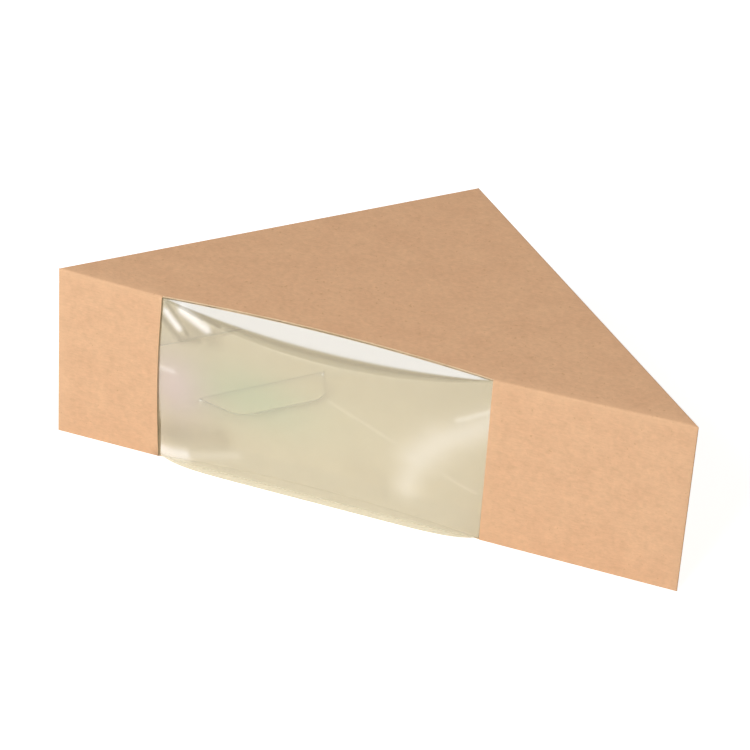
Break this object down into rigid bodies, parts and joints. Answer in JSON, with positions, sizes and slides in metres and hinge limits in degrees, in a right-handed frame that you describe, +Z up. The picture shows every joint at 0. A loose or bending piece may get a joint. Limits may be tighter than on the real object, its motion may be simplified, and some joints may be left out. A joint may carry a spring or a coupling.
{
  "type": "windowed sandwich box",
  "caption": "Triangular folded kraft board sandwich box with a clear film window across its long face and a hinged closing lid held by a lock tab.",
  "frame": {"origin": "underside of the triangular base, halfway along the long front and halfway from it to the back corner", "axes": "+X along the long front face to the right, +Y from the front to the right-angled back corner, +Z up"},
  "size_m": [0.1766, 0.0925, 0.0525],
  "materials": {
    "kraft_board": "matt natural kraft outside, cream coated inside",
    "clear_film": "thin clear glossy film"
  },
  "bodies": {
    "box": {"carton": "kraft_board", "window_film": "clear_film"},
    "lid": {"closing_lid": "kraft_board"}
  },
  "joints": [
    {"name": "lid_hinge", "type": "hinge", "parent": "box", "child": "lid", "pos_m": [-0.04425, -0.00016, 0.05228], "axis": [0.7071, 0.7071, 0], "range_deg": [0, 150]}
  ]
}
